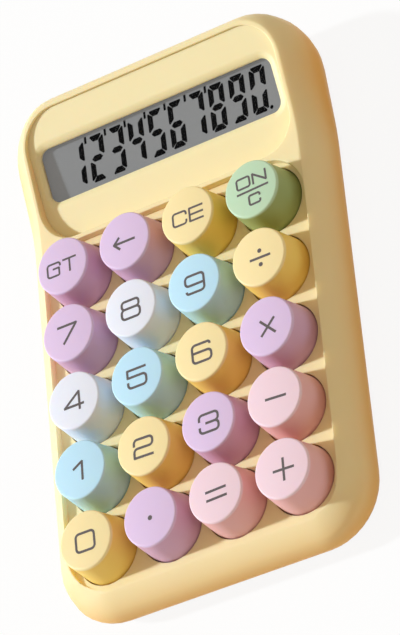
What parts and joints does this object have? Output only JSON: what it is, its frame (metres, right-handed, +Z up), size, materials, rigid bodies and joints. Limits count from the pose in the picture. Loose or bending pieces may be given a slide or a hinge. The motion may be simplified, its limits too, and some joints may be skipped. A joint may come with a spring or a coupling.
{
  "type": "desk calculator",
  "caption": "Small desk calculator with a soft cream case, a sunk deck of round push keys in pastel colours, a tilted display panel and a sliding battery door.",
  "frame": {"origin": "on the desk, under the middle of the case", "axes": "+Z up from the desk, +Y from the front edge to the display end, +X to the user's right"},
  "size_m": [0.0952, 0.1492, 0.0236],
  "materials": {
    "case_cream": "satin moulded plastic",
    "key_lilac": "satin moulded plastic",
    "key_cream": "satin moulded plastic",
    "key_mint": "satin moulded plastic",
    "key_white": "satin moulded plastic",
    "key_blue": "satin moulded plastic",
    "key_pink": "satin moulded plastic",
    "legend_ink": "printed",
    "window_clear": "clear",
    "display_grey": "matt polariser",
    "ribbon_film": "satin film",
    "board_green": "solder mask",
    "chip_black": "gloss resin",
    "silicone": "matt silicone",
    "screw_steel": "plated",
    "foot_rubber": "matt",
    "cell_jacket": "plain jacket",
    "contact_metal": "nickel"
  },
  "bodies": {
    "case": {"top_housing": "case_cream", "bottom_cover": "case_cream", "display_panel": "case_cream", "display_window": "window_clear", "rubber_feet": "foot_rubber", "case_screws": "screw_steel", "lcd_glass": "display_grey", "display_ribbon": "ribbon_film", "main_board": "board_green", "chip_cover": "chip_black", "dome_mat": "silicone", "board_screws": "screw_steel", "battery": "cell_jacket", "battery_spring": "contact_metal", "battery_plate": "contact_metal"},
    "battery_door": {"battery_door": "case_cream"},
    "key_gt": {"key_gt": "key_lilac"},
    "key_back": {"key_back": "key_lilac"},
    "key_ce": {"key_ce": "key_cream"},
    "key_on": {"key_on": "key_mint"},
    "key_7": {"key_7": "key_lilac"},
    "key_8": {"key_8": "key_white"},
    "key_9": {"key_9": "key_blue"},
    "key_divide": {"key_divide": "key_cream"},
    "key_4": {"key_4": "key_white"},
    "key_5": {"key_5": "key_blue"},
    "key_6": {"key_6": "key_cream"},
    "key_times": {"key_times": "key_lilac"},
    "key_1": {"key_1": "key_blue"},
    "key_2": {"key_2": "key_cream"},
    "key_3": {"key_3": "key_lilac"},
    "key_minus": {"key_minus": "key_pink"},
    "key_0": {"key_0": "key_cream"},
    "key_point": {"key_point": "key_lilac"},
    "key_equals": {"key_equals": "key_pink"},
    "key_plus": {"key_plus": "key_pink"}
  },
  "joints": [
    {"name": "press_gt", "type": "slide", "parent": "case", "child": "key_gt", "axis": [0, 0, -1], "range_m": [0, 0.0022], "stiffness_N_per_m": 270, "springref_m": -0.0008, "deforming": ["dome_mat"]},
    {"name": "press_back", "type": "slide", "parent": "case", "child": "key_back", "axis": [0, 0, -1], "range_m": [0, 0.0022], "stiffness_N_per_m": 270, "springref_m": -0.0008, "deforming": ["dome_mat"]},
    {"name": "press_ce", "type": "slide", "parent": "case", "child": "key_ce", "axis": [0, 0, -1], "range_m": [0, 0.0022], "stiffness_N_per_m": 270, "springref_m": -0.0008, "deforming": ["dome_mat"]},
    {"name": "press_on", "type": "slide", "parent": "case", "child": "key_on", "axis": [0, 0, -1], "range_m": [0, 0.0022], "stiffness_N_per_m": 270, "springref_m": -0.0008, "deforming": ["dome_mat"]},
    {"name": "press_7", "type": "slide", "parent": "case", "child": "key_7", "axis": [0, 0, -1], "range_m": [0, 0.0022], "stiffness_N_per_m": 270, "springref_m": -0.0008, "deforming": ["dome_mat"]},
    {"name": "press_8", "type": "slide", "parent": "case", "child": "key_8", "axis": [0, 0, -1], "range_m": [0, 0.0022], "stiffness_N_per_m": 270, "springref_m": -0.0008, "deforming": ["dome_mat"]},
    {"name": "press_9", "type": "slide", "parent": "case", "child": "key_9", "axis": [0, 0, -1], "range_m": [0, 0.0022], "stiffness_N_per_m": 270, "springref_m": -0.0008, "deforming": ["dome_mat"]},
    {"name": "press_divide", "type": "slide", "parent": "case", "child": "key_divide", "axis": [0, 0, -1], "range_m": [0, 0.0022], "stiffness_N_per_m": 270, "springref_m": -0.0008, "deforming": ["dome_mat"]},
    {"name": "press_4", "type": "slide", "parent": "case", "child": "key_4", "axis": [0, 0, -1], "range_m": [0, 0.0022], "stiffness_N_per_m": 270, "springref_m": -0.0008, "deforming": ["dome_mat"]},
    {"name": "press_5", "type": "slide", "parent": "case", "child": "key_5", "axis": [0, 0, -1], "range_m": [0, 0.0022], "stiffness_N_per_m": 270, "springref_m": -0.0008, "deforming": ["dome_mat"]},
    {"name": "press_6", "type": "slide", "parent": "case", "child": "key_6", "axis": [0, 0, -1], "range_m": [0, 0.0022], "stiffness_N_per_m": 270, "springref_m": -0.0008, "deforming": ["dome_mat"]},
    {"name": "press_times", "type": "slide", "parent": "case", "child": "key_times", "axis": [0, 0, -1], "range_m": [0, 0.0022], "stiffness_N_per_m": 270, "springref_m": -0.0008, "deforming": ["dome_mat"]},
    {"name": "press_1", "type": "slide", "parent": "case", "child": "key_1", "axis": [0, 0, -1], "range_m": [0, 0.0022], "stiffness_N_per_m": 270, "springref_m": -0.0008, "deforming": ["dome_mat"]},
    {"name": "press_2", "type": "slide", "parent": "case", "child": "key_2", "axis": [0, 0, -1], "range_m": [0, 0.0022], "stiffness_N_per_m": 270, "springref_m": -0.0008, "deforming": ["dome_mat"]},
    {"name": "press_3", "type": "slide", "parent": "case", "child": "key_3", "axis": [0, 0, -1], "range_m": [0, 0.0022], "stiffness_N_per_m": 270, "springref_m": -0.0008, "deforming": ["dome_mat"]},
    {"name": "press_minus", "type": "slide", "parent": "case", "child": "key_minus", "axis": [0, 0, -1], "range_m": [0, 0.0022], "stiffness_N_per_m": 270, "springref_m": -0.0008, "deforming": ["dome_mat"]},
    {"name": "press_0", "type": "slide", "parent": "case", "child": "key_0", "axis": [0, 0, -1], "range_m": [0, 0.0022], "stiffness_N_per_m": 270, "springref_m": -0.0008, "deforming": ["dome_mat"]},
    {"name": "press_point", "type": "slide", "parent": "case", "child": "key_point", "axis": [0, 0, -1], "range_m": [0, 0.0022], "stiffness_N_per_m": 270, "springref_m": -0.0008, "deforming": ["dome_mat"]},
    {"name": "press_equals", "type": "slide", "parent": "case", "child": "key_equals", "axis": [0, 0, -1], "range_m": [0, 0.0022], "stiffness_N_per_m": 270, "springref_m": -0.0008, "deforming": ["dome_mat"]},
    {"name": "press_plus", "type": "slide", "parent": "case", "child": "key_plus", "axis": [0, 0, -1], "range_m": [0, 0.0022], "stiffness_N_per_m": 270, "springref_m": -0.0008, "deforming": ["dome_mat"]},
    {"name": "door_slide", "type": "slide", "parent": "case", "child": "battery_door", "axis": [0, 1, 0], "range_m": [0, 0.014]}
  ]
}
